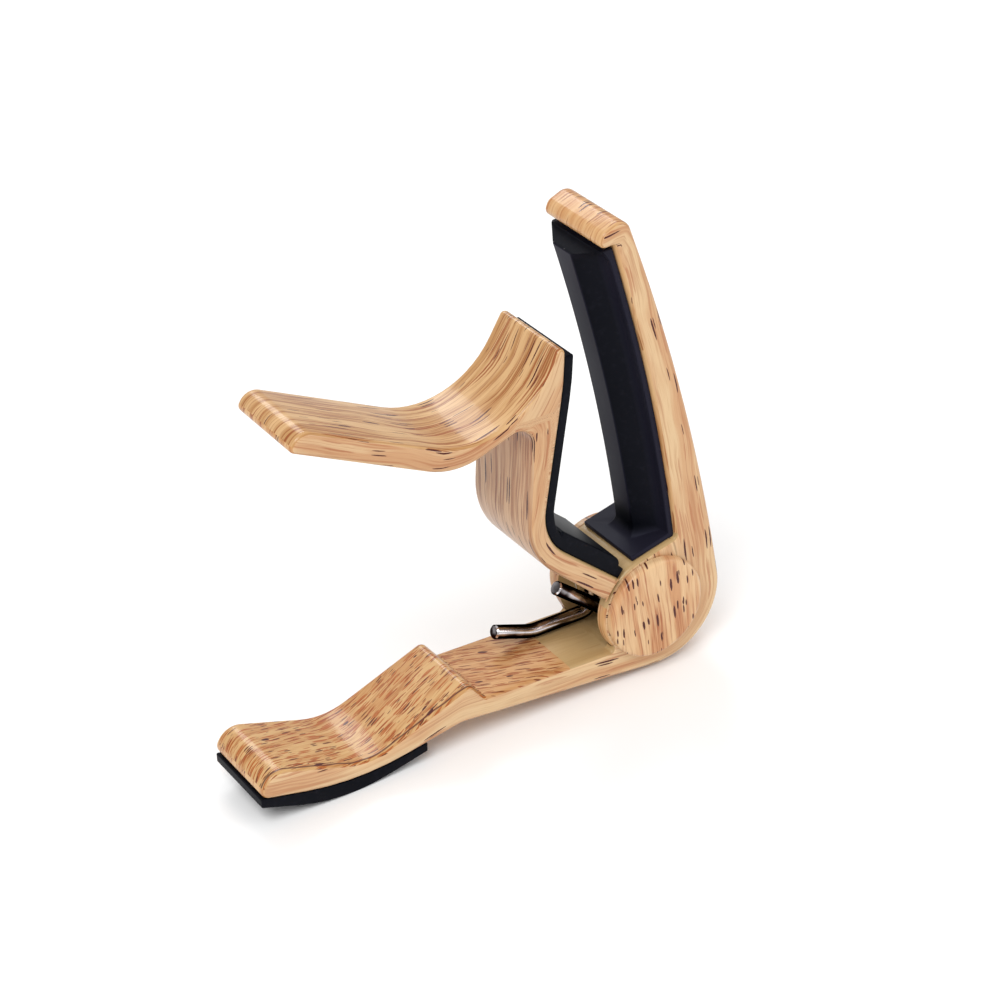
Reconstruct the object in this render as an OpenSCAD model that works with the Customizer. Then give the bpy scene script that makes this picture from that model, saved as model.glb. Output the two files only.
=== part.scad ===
// Trigger capo for a guitar: two cast limbs on one sprung hinge, with silicone pads.
// Millimetres, +Z up, X across the neck gap, Y along the pads and the hinge pin.
// The origin is on the resting plane, below the middle of the capo's length.

/* [Limbs] */
// width of the string arm and of the handle
frame_width = 15.5; // [15:0.1:16.2]
// width of the jaw lever
lever_width = 16.5; // [15.6:0.1:17]

/* [Hinge] */
// diameter of the pivot pin
pin_diameter = 5; // [4:0.1:5.4]
// diameter of the round caps over the pin's ends
cap_diameter = 18; // [17:0.1:18.2]
// thickness of each cap
cap_thickness = 1.65; // [1.4:0.05:2.2]
// diameter of the spring's wire
wire_diameter = 2.4; // [1.8:0.1:2.5]

/* [Pads] */
// thickness of the sheet that lines the string arm
string_sheet = 1.0; // [0.8:0.1:1.4]
// height of the string bar above the arm
string_bar_height = 4.9; // [4.5:0.1:6]
// width of the string bar's front face
string_bar_face = 4.8; // [4:0.1:7]
// thickness of the pad behind the neck
neck_sheet = 1.8; // [1.4:0.1:2]
// height of the thicker block of that pad, on the lever's foot
neck_block = 2.9; // [2.2:0.1:3.2]
// thickness of the pad under the handle at its ends
grip_sheet = 1.7; // [1.4:0.1:1.9]
// how much fuller that pad is in its middle
grip_bulge = 0.95; // [0.6:0.05:1.2]

/* [Hidden] */
$fn = 96;
slack = 0.05;
glue = 0.02;
pin_r = pin_diameter / 2;
cap_r = cap_diameter / 2;
cheek_r = cap_r + 0.45;
foot_r = cheek_r + 0.4;
knuckle_r = 6.2;
pocket_r = knuckle_r + 0.4;
cheek_width = 2;
cheek_y = frame_width / 2 - cheek_width;
washer_width = 0.35;
ear_y = cheek_y - washer_width - 2 * slack;
ear_width = 1.05;
ear_step = 0.2;
stop_gap = 0.35;
cap_y = frame_width / 2 + slack;
cap_rim = 0.8;
pin_grip = 0.9;
pin_half = cap_y + pin_grip;
string_pad_width = frame_width - 1.8;
neck_pad_width = lever_width - 1.2;
grip_pad_width = frame_width - 0.6;
bar_flank = 0.64;

// Outlines are lists of corners [x, z, radius] about the pivot.
arm_path = [
    [-6.4, 66.95, 0], [-5.6, 64.2, 0], [1.76, 37.7, 330], [5.05, 10.95, 0.8], [-3.2, 8.94, 0]];
seat_end = [-2.24, 9.17, 0];
lip_path = [[-6.25, 67.1, 0.6], [-9.5, 66.75, 1.1], [-8.3, 69.5, 1.6], [-4.0, 71.3, 2.2]];
back_path = [[8.15, 35.6, 370], [15.9, -13.9, 11.9]];
belly_path = [[-37.0, -8.2, 6], [-56.3, -11.52, 45], [-73.7, -7.2, 1.5]];
handle_top_path = [
    [-71.4, -2.65, 3.5], [-53.9, -8.75, 12], [-35.1, -1.75, 1.3], [-32.4, -5.3, 0.6]];
floor_end = [-1.6, -6.72, 0];
jaw_path = [[-15.7, 55.2, 0.85], [-16.1, 47.2, 50], [-21.05, 20.15, 10], [-5.0, 6.1, 0]];
lever_under_path = [
    [-7.3, 2.73, 0], [-23.8, 18.05, 14], [-21.9, 42.4, 2.8], [-36.1, 37.6, 12.5],
    [-63.9, 51.35, 1.0], [-61.9, 54.5, 2.6], [-27.0, 37.45, 15.5]];
neck_pad_path = [[-15.9, 51.2, 0], jaw_path[1], jaw_path[2], [-6.6, 7.5, 0]];
grip_pad_path = [[-43.4, -9.3, 0], belly_path[1], [-73.2, -7.32, 0]];
grip_under_path = [
    grip_pad_path[0] - [0, grip_sheet, 0],
    [-59.0, belly_path[1][1] - grip_sheet - grip_bulge, 30],
    grip_pad_path[2] - [0, grip_sheet, 0]];

foot_dir = unit(xz(jaw_path[3]) - xz(jaw_path[2]));
foot_up = [-foot_dir[1], foot_dir[0]];
under_dir = unit(xz(lever_under_path[0]) - xz(lever_under_path[1]));
under_up = [-under_dir[1], under_dir[0]];
foot_end = xz(jaw_path[3]);
under_end = xz(lever_under_path[0]);

frame_outline = closed(concat(
    backwards(lip_path), [for (i = [1 : 3]) arm_path[i]], [seat_end, [-3.2, 0, 0], floor_end],
    backwards(handle_top_path), backwards(belly_path), backwards(back_path)));
grip_outline = concat(open(beside(grip_pad_path, glue)), backwards(open(grip_under_path)));
left_reach = min([for (p = concat(frame_outline, grip_outline)) p[0]]);
right_reach = max([for (p = frame_outline) p[0]]);
low_reach = min([for (p = concat(frame_outline, grip_outline)) p[1]]);
pivot_x = -(left_reach + right_reach) / 2;
pivot_height = -low_reach;

// The spring: a straight upper leg, the coil, and a lower leg bent along the handle.
wire_r = wire_diameter / 2;
coil_r = 4.7;
coil_pitch = 3.1;
upper_leg = 16.3;
upper_angle = 230.5;
lower_angle = 903;
coil_half = coil_pitch * (lower_angle - upper_angle) / 720;
wire_sides = 16;
lower_leg_path = [
    [coil_r * cos(lower_angle), coil_r * sin(lower_angle), 0], [-4.72, -4.95, 2.4],
    [-16.8, -4.7, 8], [-23.8, -2.05, 0]];

function unit(v) = v / norm(v);
function xz(p) = [p[0], p[1]];
function turn(a, b, c) = let(u = xz(b) - xz(a), v = xz(c) - xz(b))
    atan2(u[0] * v[1] - u[1] * v[0], u * v);
function backwards(p) = [for (i = [len(p) - 1 : -1 : 0]) p[i]];

// points of the arc that rounds the corner b between a and c
function corner(a, b, c) = let(
        t = turn(a, b, c),
        r = b[2],
        u = unit(xz(b) - xz(a)),
        side = sign(t),
        start = xz(b) - u * r * tan(abs(t) / 2),
        mid = start + side * r * [-u[1], u[0]],
        heading = atan2(u[1], u[0]),
        steps = max(2, ceil(abs(t) / 6), ceil(abs(t) * r / 240)))
    r == 0 || abs(t) < 0.01 ? [xz(b)]
    : [for (k = [0 : steps]) let(s = heading + side * (abs(t) * k / steps - 90))
        mid + r * [cos(s), sin(s)]];

// a closed outline, or an open line that keeps its two ends, with its corners rounded
function closed(p) = let(n = len(p))
    [for (i = [0 : n - 1]) each corner(p[(i + n - 1) % n], p[i], p[(i + 1) % n])];
function open(p) = let(n = len(p))
    [xz(p[0]), for (i = [1 : n - 2]) each corner(p[i - 1], p[i], p[i + 1]), xz(p[n - 1])];

// the same line moved sideways by d, to the left of its direction
function beside(p, d) = let(n = len(p)) [for (i = [0 : n - 1]) let(
        u = unit(xz(p[min(i + 1, n - 1)]) - xz(p[min(i, n - 2)])),
        v = unit(xz(p[max(i, 1)]) - xz(p[max(i - 1, 0)])),
        nu = [-u[1], u[0]],
        nv = [-v[1], v[0]],
        t = i == 0 || i == n - 1 ? 0 : turn(p[i - 1], p[i], p[i + 1]),
        m = xz(p[i]) + d * (nu + nv) / (1 + nu * nv))
    [m[0], m[1], p[i][2] == 0 ? 0 : max(0.2, p[i][2] - sign(t) * d)]];

// a strip between the distances d1 and d2 beside a line
function strip(p, d1, d2) = concat(open(beside(p, d1)), backwards(open(beside(p, d2))));

// a profile in X and Z about the pivot, drawn out to a width centred on y
module slab(width, y = 0)
    translate([pivot_x, y, pivot_height])
    rotate([90, 0, 0])
    linear_extrude(width, center = true) children();

// a solid turned about the hinge line, starting at y and growing towards -Y
module on_pin(y) translate([pivot_x, y, pivot_height]) rotate([90, 0, 0]) children();

module frame_profile() {
    polygon(frame_outline);
    circle(r = cheek_r);
}

// the room for the knuckles and the coil, open towards the lever
module pocket_profile() {
    circle(r = pocket_r);
    polygon([
        foot_end - 14 * foot_dir + stop_gap * foot_up, foot_end + 4 * foot_dir + stop_gap * foot_up,
        [0, 0], xz(floor_end), [-14, -6.13], [-20, 2]]);
}

module frame() color([0.86, 0.72, 0.52]) difference() {
    slab(frame_width) frame_profile();
    slab(2 * cheek_y) pocket_profile();
    slab(frame_width + 2) circle(r = pin_r);
}

module lever_profile() polygon(closed(concat(jaw_path, lever_under_path)));

// the strips of the foot that reach in between the cheeks and ride on the pin
module ear_profile() difference() {
    union() {
        circle(r = knuckle_r);
        polygon([
            foot_end - 7 * foot_dir - ear_step * foot_up, foot_end + 5 * foot_dir - ear_step * foot_up,
            [0, 0],
            under_end + 4 * under_dir + ear_step * under_up, under_end - 5 * under_dir + ear_step * under_up]);
    }
    circle(r = pin_r + slack);
}

// a land under the foot for the spring's upper leg
module spring_seat_profile() polygon([
    under_end - 3.6 * under_dir + 0.3 * under_up, under_end - 9 * under_dir + 0.3 * under_up,
    under_end - 8.4 * under_dir - 0.3 * under_up, under_end - 3.6 * under_dir - 0.3 * under_up]);

module lever() color([0.84, 0.68, 0.47]) {
    difference() {
        slab(lever_width) lever_profile();
        slab(lever_width + 2) circle(r = foot_r);
    }
    for (side = [-1, 1]) slab(ear_width, side * (ear_y - ear_width / 2)) ear_profile();
    slab(2 * ear_y - ear_width) spring_seat_profile();
}

// the bar's flanks slope, so it is cut from its side profile by a tapered prism
module string_bar() intersection() {
    slab(frame_width) polygon(strip(
        [[-6.2, 66.3, 0], arm_path[2], [5.04, 11.0, 0]], -string_sheet / 2, -string_bar_height));
    translate([pivot_x + arm_path[3][0], 0, pivot_height + arm_path[3][1]])
        rotate([0, atan2(arm_path[0][0] - arm_path[3][0], arm_path[0][1] - arm_path[3][1]), 0])
        translate([0.6, 0, -8])
        linear_extrude(80)
        polygon([for (e = [[-1, -1], [1, -1], [1, 1], [-1, 1]]) let(x = e[0] < 0 ? -8 : 4)
            [x, e[1] * (string_bar_face / 2 + bar_flank * (x + string_bar_height))]]);
}

module string_pad() color([0.13, 0.13, 0.15]) {
    slab(string_pad_width) polygon(strip(arm_path, -glue, -string_sheet));
    string_bar();
}

module neck_block_profile() let(c = xz(jaw_path[2])) polygon([
    for (q = closed([[3.4, 1.0, 0], [18.6, 1.0, 0], [16.9, neck_block, 2.0], [2.7, neck_block, 0.6]]))
    c + q[0] * foot_dir + q[1] * foot_up]);

module neck_pad() color([0.13, 0.13, 0.15]) slab(neck_pad_width) {
    polygon(strip(neck_pad_path, glue, neck_sheet));
    neck_block_profile();
}

module grip_pad() color([0.13, 0.13, 0.15]) slab(grip_pad_width) polygon(grip_outline);

// centre line of the wire as [x, z, y], from the upper leg's tip to the lower leg's
function wire_line() = let(
        start = coil_r * [cos(upper_angle), sin(upper_angle)],
        away = [sin(upper_angle), -cos(upper_angle)],
        low = open(lower_leg_path))
    concat(
        [for (k = [0 : 3]) let(p = start + away * upper_leg * (1 - k / 4)) [p[0], p[1], -coil_half]],
        [for (a = [upper_angle : 12 : lower_angle]) [coil_r * cos(a), coil_r * sin(a),
            coil_half * (2 * (a - upper_angle) / (lower_angle - upper_angle) - 1)]],
        [for (i = [1 : len(low) - 1]) [low[i][0], low[i][1], coil_half + 0.4 * i / len(low)]]);

module torsion_spring() color([0.2, 0.19, 0.2]) let(
        line = wire_line(),
        n = len(line),
        s = wire_sides,
        rings = [for (i = [0 : n - 1]) let(
                u = unit(xz(line[min(i + 1, n - 1)]) - xz(line[max(i - 1, 0)])))
            for (k = [0 : s - 1]) let(a = 360 * k / s) [
                line[i][0] - wire_r * cos(a) * u[1],
                line[i][1] + wire_r * cos(a) * u[0],
                -line[i][2] + wire_r * sin(a)]],
        sides = [for (i = [0 : n - 2]) for (k = [0 : s - 1]) let(j = (k + 1) % s)
            [i * s + k, i * s + j, (i + 1) * s + j, (i + 1) * s + k]])
    on_pin(0) polyhedron(
        points = rings,
        faces = concat([[for (k = [s - 1 : -1 : 0]) k]], sides, [[for (k = [0 : s - 1]) (n - 1) * s + k]]));

module pivot_pin() color([0.6, 0.6, 0.62])
    on_pin(pin_half) cylinder(r = pin_r, h = 2 * pin_half);

module washer(side) color([0.9, 0.9, 0.88])
    slab(washer_width, side * (cheek_y - slack - washer_width / 2)) difference() {
        circle(r = knuckle_r);
        circle(r = pin_r + slack);
    }

// a cap with a rounded rim, turned to face away from the frame
module cap(side) color([0.84, 0.68, 0.47])
    on_pin(side * cap_y) rotate([side < 0 ? 0 : 180, 0, 0]) difference() {
        rotate_extrude() {
            square([cap_r - cap_rim, cap_thickness]);
            square([cap_r, cap_thickness - cap_rim]);
            translate([cap_r - cap_rim, cap_thickness - cap_rim]) circle(r = cap_rim);
        }
        translate([0, 0, -1]) cylinder(r = pin_r, h = 1 + pin_grip);
    }

frame();
lever();
string_pad();
neck_pad();
grip_pad();
torsion_spring();
pivot_pin();
washer(-1);  // washer_near
washer(1);  // washer_far
cap(-1);  // cap_near
cap(1);  // cap_far
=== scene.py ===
"""Looks for the trigger capo: printed castings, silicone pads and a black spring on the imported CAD."""

import math

import bmesh
import bpy
import numpy as np
from mathutils import Matrix, Vector
from mathutils.geometry import delaunay_2d_cdt


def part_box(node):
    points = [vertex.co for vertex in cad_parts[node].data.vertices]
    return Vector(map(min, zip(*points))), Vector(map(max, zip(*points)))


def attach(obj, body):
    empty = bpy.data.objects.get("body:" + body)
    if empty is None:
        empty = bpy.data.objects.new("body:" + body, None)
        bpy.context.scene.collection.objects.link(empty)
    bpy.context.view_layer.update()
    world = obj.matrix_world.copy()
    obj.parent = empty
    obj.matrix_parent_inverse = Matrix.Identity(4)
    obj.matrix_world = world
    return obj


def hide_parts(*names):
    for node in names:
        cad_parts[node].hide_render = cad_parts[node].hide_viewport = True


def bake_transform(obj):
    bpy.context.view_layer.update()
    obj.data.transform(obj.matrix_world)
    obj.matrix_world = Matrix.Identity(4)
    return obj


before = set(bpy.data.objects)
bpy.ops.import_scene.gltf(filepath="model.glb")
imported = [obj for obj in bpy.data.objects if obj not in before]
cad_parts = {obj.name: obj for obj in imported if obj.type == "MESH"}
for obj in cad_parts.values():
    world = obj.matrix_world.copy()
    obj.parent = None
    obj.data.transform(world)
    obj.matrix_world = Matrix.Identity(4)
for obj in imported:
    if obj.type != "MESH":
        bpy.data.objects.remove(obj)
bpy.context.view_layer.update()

# lengths below are in millimetres unless they say otherwise; MM turns them into metres
MM = 0.001
EDGE_STEPS = 5
ARC_STEP_DEG = 6
LONG_ARC = 240
MIN_RADIUS = 0.03
SHARP_DEG = 38

pin_low, pin_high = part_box("pivot_pin")
PIVOT = (pin_low + pin_high) / 2
cap_low, cap_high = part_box("cap_near")


def half_width(node):
    """Half of the size across Y of a node that is centred on the mid-plane."""
    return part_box(node)[1].y / MM


CAP_R = (cap_high.x - cap_low.x) / 2 / MM
CHEEK_R = CAP_R + 0.45
FOOT_R = CHEEK_R + 0.4
PIN_R = (pin_high.x - pin_low.x) / 2 / MM
KNUCKLE_R = 6.2
POCKET_R = KNUCKLE_R + 0.4
FRAME_HALF = half_width("frame")
LEVER_HALF = half_width("lever")
CHEEK_IN = FRAME_HALF - 2.0
EAR_OUT = CHEEK_IN - 0.45
EAR_IN = EAR_OUT - 1.05
EAR_STEP = 0.2
STOP_GAP = 0.35
SLACK = 0.05
GLUE = 0.02
CASTING_EDGE = 0.8
WIRE_R = 1.2
COIL_R = 4.7
UPPER_LEG = 16.3
UPPER_DEG = 230.5
LOWER_DEG = 903.0
COIL_HALF = 3.1 * (LOWER_DEG - UPPER_DEG) / 720

# print areas, one material each
SIDE, TOP, FLOOR, PLAIN, BACK = range(5)


# ---------------------------------------------------------------- outlines
def unit(v):
    n = math.hypot(v[0], v[1])
    return (v[0] / n, v[1] / n)


def sub(a, b):
    return (a[0] - b[0], a[1] - b[1])


def turn(a, b, c):
    u, v = sub(b, a), sub(c, b)
    return math.atan2(u[0] * v[1] - u[1] * v[0], u[0] * v[0] + u[1] * v[1])


def arc(a, b, c, radius, steps):
    """Points of the arc that rounds the corner b between a and c."""
    if steps == 0:
        return [(b[0], b[1])]
    t = turn(a, b, c)
    u = unit(sub(b, a))
    side = 1 if t > 0 else -1
    reach = radius * math.tan(abs(t) / 2)
    mid = (b[0] - u[0] * reach - side * radius * u[1], b[1] - u[1] * reach + side * radius * u[0])
    first = math.atan2(u[1], u[0]) - side * math.pi / 2
    return [
        (mid[0] + radius * math.cos(first + t * k / steps), mid[1] + radius * math.sin(first + t * k / steps))
        for k in range(steps + 1)
    ]


def steps_for(radius, t):
    if radius == 0 or abs(t) < 1e-4:
        return 0
    swept = math.degrees(abs(t))
    return max(2, math.ceil(swept / ARC_STEP_DEG), math.ceil(swept * radius / LONG_ARC))


def corner_steps(path, i):
    """How many steps the arc at corner i of a closed corner list takes."""
    a, b, c = path[i - 1], path[i], path[(i + 1) % len(path)]
    return steps_for(b[2], turn(a, b, c))


def beside(path, d, loop=False):
    """The corner list moved to its left by d, with each corner's radius changed to suit."""
    n, out = len(path), []
    for i, b in enumerate(path):
        a = path[i - 1] if i or loop else None
        c = path[(i + 1) % n] if i < n - 1 or loop else None
        v = unit(sub(c, b)) if c else unit(sub(b, a))
        u = unit(sub(b, a)) if a else v
        t = turn(a, b, c) if a and c else 0
        k = d / (1 + u[0] * v[0] + u[1] * v[1])
        r = 0 if b[2] == 0 else max(MIN_RADIUS, b[2] - (d if t > 0 else -d))
        out.append((b[0] - k * (u[1] + v[1]), b[1] + k * (u[0] + v[0]), r) + tuple(b[3:]))
    return out


def rounded(path, inset=0.0, counts=None):
    """A closed corner list as points; the same number of points whatever the inset."""
    n = len(path)
    counts = counts or [corner_steps(path, i) for i in range(n)]
    p = beside(path, inset, True)
    return [arc(p[i - 1], p[i], p[(i + 1) % n], p[i][2], counts[i]) for i in range(n)]


def flat(groups):
    return [q for g in groups for q in g]


def open_line(path):
    """The points of an open corner list, which keeps its two ends."""
    mid = [
        arc(path[i - 1], path[i], path[i + 1], path[i][2], corner_steps(path, i))
        for i in range(1, len(path) - 1)
    ]
    return [path[0][:2]] + flat(mid) + [path[-1][:2]]


def soft_corners(path, least):
    """A corner list with every corner rounded by at least the given radius."""
    return [p[:2] + (max(p[2], least),) for p in path]


def strip(path, d1, d2):
    """Closed corner list between the distances d1 and d2 beside an open line."""
    return beside(path, d1) + beside(path, d2)[::-1]


def crossing(a, b, radius):
    """Where the line from a (outside) to b (inside) meets the circle round the pivot."""
    d = sub(b, a)
    square = d[0] ** 2 + d[1] ** 2
    linear = 2 * (a[0] * d[0] + a[1] * d[1])
    rest = a[0] ** 2 + a[1] ** 2 - radius ** 2
    s = (-linear - math.sqrt(linear * linear - 4 * square * rest)) / (2 * square)
    return (a[0] + s * d[0], a[1] + s * d[1])


def polar(r, deg):
    return (r * math.cos(math.radians(deg)), r * math.sin(math.radians(deg)))


def place(x, y, z):
    """A point given in millimetres about the pivot."""
    return Vector((PIVOT.x + x * MM, y * MM, PIVOT.z + z * MM))


# the corners of the real outlines, (x, z, radius) about the pivot, as in the CAD source
ARM = [(-6.4, 66.95, 0), (-5.6, 64.2, 0), (1.76, 37.7, 330), (5.05, 10.95, 0.8), (-3.2, 8.94, 0)]
JAW = [(-15.7, 55.2, 0.85), (-16.1, 47.2, 50), (-21.05, 20.15, 10), (-5.0, 6.1, 0)]
UNDER = [
    (-7.3, 2.73, 0), (-23.8, 18.05, 14), (-21.9, 42.4, 2.8), (-36.1, 37.6, 12.5),
    (-63.9, 51.35, 1.0), (-61.9, 54.5, 2.6), (-27.0, 37.45, 15.5)]
BELLY = [(-37.0, -8.2, 6), (-56.3, -11.52, 45), (-73.7, -7.2, 1.5)]
NECK = [(-15.9, 51.2, 0), JAW[1], JAW[2], (-6.6, 7.5, 0)]
GRIP = [(-43.4, -9.3, 0), BELLY[1], (-73.2, -7.32, 0)]
GRIP_UNDER = [(-43.4, -11.0, 0), (-59.0, -14.17, 30), (-73.2, -9.02, 0)]
SEAT_END = (-2.24, 9.17)
FLOOR_END = (-1.6, -6.72)
RIDGE_FOOT = (-32.4, -5.3)
PRINT_END = -16.2
NECK_SHEET = 1.8
NECK_BLOCK = 2.9
STRING_SHEET = 1.0
STRING_BAR = 4.9
STRING_FLARE = 2.6


def direction(a, b):
    """The unit vector from a to b and the one to its left."""
    d = unit(sub(b, a))
    return d, (-d[1], d[0])


def offset(p, axes, s, h):
    """The point s along the first of two axes from p and h along the second."""
    d, up = axes
    return (p[0] + s * d[0] + h * up[0], p[1] + s * d[1] + h * up[1])


FOOT = direction(JAW[2], JAW[3])
FOOT_UNDER = direction(UNDER[1], UNDER[0])


# ---------------------------------------------------------------- meshes
def fill(points):
    """Triangles over a flat outline with a grid of points inside it. Gives (extra points, triangles)."""
    ring = np.array(points)
    lo, hi = ring.min(0), ring.max(0)
    gap = 1.3
    margin = 0.45 * gap
    xs = np.arange(lo[0] + gap / 2, hi[0], gap)
    zs = np.arange(lo[1] + gap / 2, hi[1], gap)
    grid = np.array([(x + (gap / 2 if j % 2 else 0), z) for j, z in enumerate(zs) for x in xs])
    a, b = ring, np.roll(ring, -1, 0)
    d = b - a
    inside = np.zeros(len(grid), bool)
    for p, q in zip(a, b):
        hit = (p[1] > grid[:, 1]) != (q[1] > grid[:, 1])
        if hit.any():
            x = p[0] + (grid[:, 1] - p[1]) * (q[0] - p[0]) / (q[1] - p[1] if q[1] != p[1] else 1)
            inside ^= hit & (grid[:, 0] < x)
    rel = grid[:, None, :] - a[None]
    t = np.clip((rel * d[None]).sum(2) / (d ** 2).sum(1), 0, 1)
    near = np.linalg.norm(rel - t[..., None] * d[None], axis=2).min(1)
    extra = grid[inside & (near > margin)]
    everything = [Vector(p) for p in points] + [Vector(p) for p in extra]
    n = len(points)
    edges = [(i, (i + 1) % n) for i in range(n)]
    _, _, faces, orig, _, _ = delaunay_2d_cdt(everything, edges, [list(range(n))], 1, 1e-7)
    back = [o[0] for o in orig]
    return [tuple(p) for p in extra], [[back[i] for i in f] for f in faces]


def link(name, data):
    """Puts a mesh, lamp or camera into the scene as an object."""
    obj = bpy.data.objects.new(name, data)
    bpy.context.scene.collection.objects.link(obj)
    return obj


def skin(name, rings, caps, tags=None):
    """A closed mesh through rings of points, each ring the same count.

    caps gives the two ends as (flat outline, function that places a point of it). tags gives the print area
    of the face after ring k and point i.
    """
    n = len(rings[0])
    verts = [p for ring in rings for p in ring]
    faces, kinds = [], []
    last = len(rings) - 1
    for k in range(last):
        for i in range(n):
            j = (i + 1) % n
            faces.append((k * n + i, k * n + j, (k + 1) * n + j, (k + 1) * n + i))
            kinds.append(tags(k, i) if tags else SIDE)
    for end, (outline, put) in ((0, caps[0]), (last, caps[1])):
        extra, tris = fill(outline)
        first = len(verts)
        verts += [put(p) for p in extra]
        for f in tris:
            ids = [end * n + i if i < n else first + i - n for i in f]
            faces.append(tuple(ids if end == 0 else ids[::-1]))
            kinds.append(SIDE)
    mesh = bpy.data.meshes.new(name)
    mesh.from_pydata([tuple(v) for v in verts], [], faces)
    mesh.polygons.foreach_set("material_index", kinds)
    mesh.update()
    obj = link(name, mesh)
    tidy(obj)
    return obj


def tidy(obj):
    """Merges doubled points, points every face outwards and smooths all but the sharp edges."""
    bm = bmesh.new()
    bm.from_mesh(obj.data)
    bmesh.ops.remove_doubles(bm, verts=bm.verts, dist=2e-7)
    bmesh.ops.dissolve_degenerate(bm, edges=bm.edges, dist=1e-7)
    bmesh.ops.recalc_face_normals(bm, faces=bm.faces)
    bm.to_mesh(obj.data)
    bm.free()
    for p in obj.data.polygons:
        p.use_smooth = True
    obj.data.set_sharp_from_angle(angle=math.radians(SHARP_DEG))
    obj.data.update()


def slab(name, path, half, edge):
    """A closed corner list drawn out across Y with rounded edges.

    A corner's fourth value, if it has one, is the print area of the wall after it.
    """
    rings, ys = [], []
    for k in range(EDGE_STEPS + 1):
        a = math.pi / 2 * k / EDGE_STEPS
        rings.append(flat(rounded(path, edge * (1 - math.sin(a)))))
        ys.append(-half + edge * (1 - math.cos(a)))
    rings = rings + rings[::-1]
    ys = ys + [-y for y in ys[::-1]]
    groups = rounded(path)
    area = [path[i][3] if len(path[i]) > 3 else SIDE for i, g in enumerate(groups) for _ in g]
    total = len(rings) - 1

    def tag(k, i):
        depth = min(k, total - 1 - k)
        return SIDE if depth < 2 else area[i]

    def at(y):
        return lambda p: place(p[0], y, p[1])

    caps = [(rings[e], at(ys[e])) for e in (0, -1)]
    return skin(name, [[place(p[0], y, p[1]) for p in r] for r, y in zip(rings, ys)], caps, tag)


def prism(name, points, low, high):
    """A plain sharp prism across Y, for cutting and joining."""
    n = len(points)
    verts = [tuple(place(p[0], y, p[1])) for y in (low, high) for p in points]
    faces = [tuple(range(n)), tuple(range(2 * n - 1, n - 1, -1))]
    faces += [(i, i + n, (i + 1) % n + n, (i + 1) % n) for i in range(n)]
    mesh = bpy.data.meshes.new(name)
    mesh.from_pydata(verts, [], faces)
    obj = link(name, mesh)
    tidy(obj)
    return obj


def circle(r, count=72):
    return [polar(r, 360 * i / count) for i in range(count)]


def combine(obj, other, how, area=None):
    """Joins or cuts obj with other, which is then removed. New faces take the given print area."""
    if area is not None:
        other.data.polygons.foreach_set("material_index", [area] * len(other.data.polygons))
    for o in (obj, other):
        while len(o.data.materials) <= BACK:
            o.data.materials.append(None)
    m = obj.modifiers.new("cut", "BOOLEAN")
    m.operation, m.object, m.solver = how, other, "EXACT"
    m.material_mode = "INDEX"
    dg = bpy.context.evaluated_depsgraph_get()
    mesh = bpy.data.meshes.new_from_object(obj.evaluated_get(dg))
    obj.modifiers.clear()
    obj.data = mesh
    bpy.data.objects.remove(other)
    tidy(obj)


# ---------------------------------------------------------------- grain
def along(line, pts, closed=False):
    """Arc length and signed distance to the left of a line, for each point.

    An open line goes on past its ends.
    """
    line = np.array(line)
    a, d = line[:-1], line[1:] - line[:-1]
    length = np.linalg.norm(d, axis=1)
    keep = length > 1e-6
    a, d, length = a[keep], d[keep], length[keep]
    starts = np.concatenate([[0], np.cumsum(length)[:-1]])
    rel = pts[:, None, :] - a[None]
    t = (rel * d[None]).sum(2) / (length ** 2)
    first, last = (0, len(a)) if closed else (1, -1)
    t[:, first:] = np.maximum(t[:, first:], 0)
    t[:, :last] = np.minimum(t[:, :last], 1)
    off = rel - t[..., None] * d[None]
    far = np.linalg.norm(off, axis=2)
    best = far.argmin(1)
    rows = np.arange(len(pts))
    side = d[best, 0] * rel[rows, best, 1] - d[best, 1] * rel[rows, best, 0]
    return starts[best] + t[rows, best] * length[best], np.where(side >= 0, 1, -1) * far[rows, best]


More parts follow.
